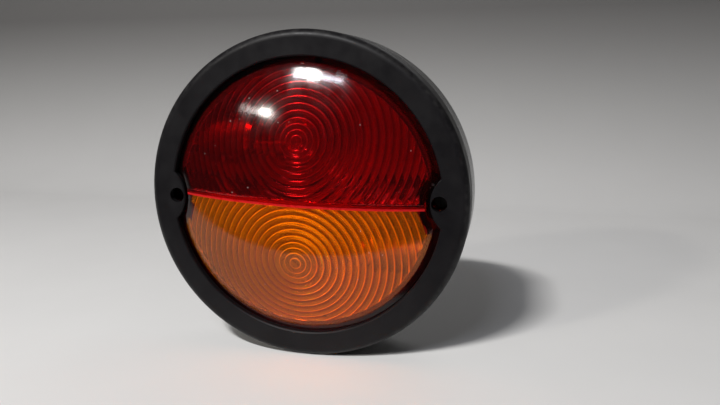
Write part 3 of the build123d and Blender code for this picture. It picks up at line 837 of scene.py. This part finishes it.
def contact_spring(name):
    """The spring behind a bulb's plunger, wound as a fixed coil; the real one squashes as the bulb is pushed
    in.
    """
    low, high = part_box(name)
    length, across = high.x - low.x, high.z - low.z
    middle = (low + high) / 2
    mesh = wound(
        name + "_coil",
        middle,
        (1, 0, 0),
        "spring_steel",
        height=length - 2 * SPRING_WIRE_R,
        Radius=across / 2 - SPRING_WIRE_R,
        Turns=SPRING_TURNS,
        Wire_radius=SPRING_WIRE_R,
    )
    piece = keep_mesh(name + "_coil", mesh, "housing_body", name, slot="spring_steel")
    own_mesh(piece)


def support_wire(whole, foot, tip_x):
    """Adds a straight wire from its foot in the bulb's stem to the filament, along the bulb."""
    tip = Vector((tip_x, foot.y, foot.z))
    span = foot - tip
    turn = span.to_track_quat("Z", "Y").to_matrix().to_4x4()
    bmesh.ops.create_cone(
        whole,
        cap_ends=True,
        segments=WIRE_SIDES,
        radius1=WIRE_R,
        radius2=WIRE_R,
        depth=span.length,
        matrix=Matrix.Translation((foot + tip) / 2) @ turn,
    )


def filaments(name, body, places):
    """Fine wound filaments, each between its own pair of support wires. Places are along and off the bulb."""
    low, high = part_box(name)
    side = 1 if high.x > -low.x else -1
    bulb_z = (low.z + high.z) / 2
    mesh = bpy.data.meshes.new(name)
    whole = bmesh.new()
    for at, off in places:
        middle = Vector((-side * at, BULB_Y - off, bulb_z))
        part = wound(
            name,
            middle,
            (0, 0, 1),
            "tungsten",
            height=2 * WIRE_OFF,
            Radius=FILAMENT_R,
            Turns=FILAMENT_TURNS,
            Wire_radius=FILAMENT_WIRE_R,
        )
        whole.from_mesh(part)
        bpy.data.meshes.remove(part)
        for z in (-WIRE_OFF, WIRE_OFF):
            support_wire(whole, Vector((side * WIRE_FOOT, middle.y, middle.z + z)), middle.x)
    whole.to_mesh(mesh)
    whole.free()
    mesh.materials.clear()
    mesh.materials.append(FINISHES["tungsten"])
    keep_mesh(name + "_wound", smooth(mesh, 50), body, name, slot="tungsten")


COIL = coil_tree()
contact_spring("stop_tail_spring")
contact_spring("indicator_spring")
filaments("stop_tail_bulb_filaments", "stop_tail_bulb", (MAIN_FILAMENT, TAIL_FILAMENT))
filaments("indicator_bulb_filaments", "indicator_bulb", (MAIN_FILAMENT,))


# ---------------------------------------------------------------- floor, light and camera
def paper_finish():
    """Pale paper, darkened up the backdrop by painted shade."""
    f = Finish("pale_paper")
    height = f.node("ShaderNodeSeparateXYZ", Vector=f.place).outputs[2]
    up = f.maths("POWER", f.ranged(height, FLOOR_Z, FLOOR_Z + BACKDROP_SHADE_RISE), 0.6)
    pale = f.blend(f.noise(60 * MM, 3.0), (0.76, 0.755, 0.75, 1), (0.80, 0.795, 0.79, 1))
    # Painted shade: the paper turns to dark grey up the backdrop.
    f.set(Base_Color=f.blend(up, pale, (0.12, 0.117, 0.115, 1)), Roughness=0.75)
    return f.material


def paper(name, line, finish):
    """A sheet as wide as the room, over a line of depths and heights."""
    n = len(line)
    points = [(x, y, z) for x in (-PAPER_HALF_W, PAPER_HALF_W) for y, z in line]
    mesh = mesh_from(name, points, [(i, n + i, n + i + 1, i + 1) for i in range(n - 1)])
    mesh.materials.append(finish)
    sheet = bpy.data.objects.new(name, smooth(mesh, 40))
    bpy.context.scene.collection.objects.link(sheet)
    return sheet


def floor_and_cove():
    """Pale floor that curves up into a backdrop. The part nearest the camera isn't seen in the gloss."""
    cove_y = PAPER_BACK_Y - COVE_R
    line = [(PAPER_FRONT, FLOOR_Z), (cove_y, FLOOR_Z)]
    for k in range(1, COVE_STEPS + 1):
        a = k / COVE_STEPS * math.pi / 2
        line.append((cove_y + COVE_R * math.sin(a), FLOOR_Z + COVE_R * (1 - math.cos(a))))
    line.append((PAPER_BACK_Y, PAPER_TOP_Z))
    finish = paper_finish()
    paper("floor", line, finish)
    front = paper("floor_front", [(PAPER_NEAR_Y, FLOOR_Z), (PAPER_FRONT, FLOOR_Z)], finish)
    front.visible_glossy = False


def direction(azimuth, elevation):
    """Unit vector out from the object. Azimuth 0 is straight in front of it, 90 to the right."""
    a, e = math.radians(azimuth), math.radians(elevation)
    return Vector((math.sin(a) * math.cos(e), -math.cos(a) * math.cos(e), math.sin(e)))


def soft_light(name, azimuth, elevation, distance, width, height, watts, colour):
    """A rectangular lamp that faces the middle of the bezel from a distance."""
    lamp = bpy.data.lights.new(name, "AREA")
    lamp.shape = "RECTANGLE"
    lamp.size, lamp.size_y = width, height
    lamp.energy = watts
    lamp.color = colour
    holder = bpy.data.objects.new(name, lamp)
    away = direction(azimuth, elevation)
    holder.location = Vector((0, RING_FACE_Y, 0)) + away * distance
    holder.rotation_mode = "QUATERNION"
    holder.rotation_quaternion = away.to_track_quat("Z", "Y")
    bpy.context.scene.collection.objects.link(holder)


floor_and_cove()
soft_light("side_lamp", -37, 27.5, LAMP_AWAY, 0.1, 0.03, 2.2, (1.0, 0.96, 0.88))
soft_light("side_glow", -41, 27, LAMP_AWAY, 0.36, 0.03, 1.0, (1.0, 0.97, 0.93))
soft_light("main_lamp", -20, 47, LAMP_AWAY, 0.2, 0.045, 11.5, (1.0, 0.985, 0.96))
soft_light("main_glow", -13, 46.5, LAMP_AWAY, 0.46, 0.045, 3.0, (0.86, 0.9, 1.0))
soft_light("back_fill", 160, 42, 0.42, 0.25, 0.2, 0.12, (1.0, 1.0, 1.0))


def room():
    """A dim room for light and reflections, that looks pale grey behind the lamp."""
    world = bpy.data.worlds.new("room")
    world.use_nodes = True
    nodes, links = world.node_tree.nodes, world.node_tree.links
    path = nodes.new("ShaderNodeLightPath")
    strength = nodes.new("ShaderNodeMapRange")
    strength.inputs["To Min"].default_value = ROOM_LIGHT
    strength.inputs["To Max"].default_value = ROOM_SEEN
    links.new(path.outputs["Is Camera Ray"], strength.inputs["Value"])
    nodes["Background"].inputs["Color"].default_value = (0.75, 0.77, 0.8, 1)
    links.new(strength.outputs["Result"], nodes["Background"].inputs["Strength"])
    bpy.context.scene.world = world


room()
bpy.context.scene.view_settings.view_transform = "Standard"


def view_from(azimuth, elevation, roll, distance, aim):
    """The camera, looking back along a direction at a place in front of the bezel."""
    optics = bpy.data.cameras.new("camera")
    optics.sensor_width = 36.0
    optics.lens = 32.93
    optics.clip_start = 0.01
    optics.clip_end = 20.0
    camera = bpy.data.objects.new("camera", optics)
    away = direction(azimuth, elevation)
    camera.location = aim + away * distance
    camera.rotation_mode = "QUATERNION"
    camera.rotation_quaternion = away.to_track_quat("Z", "Y") @ Quaternion((0, 0, 1), math.radians(roll))
    bpy.context.scene.collection.objects.link(camera)
    bpy.context.scene.camera = camera


AIM = Vector((25.1 * MM, RING_FACE_Y, -0.3 * MM))
view_from(azimuth=13.24, elevation=11.06, roll=-0.46, distance=0.2716, aim=AIM)

bpy.context.view_layer.update()
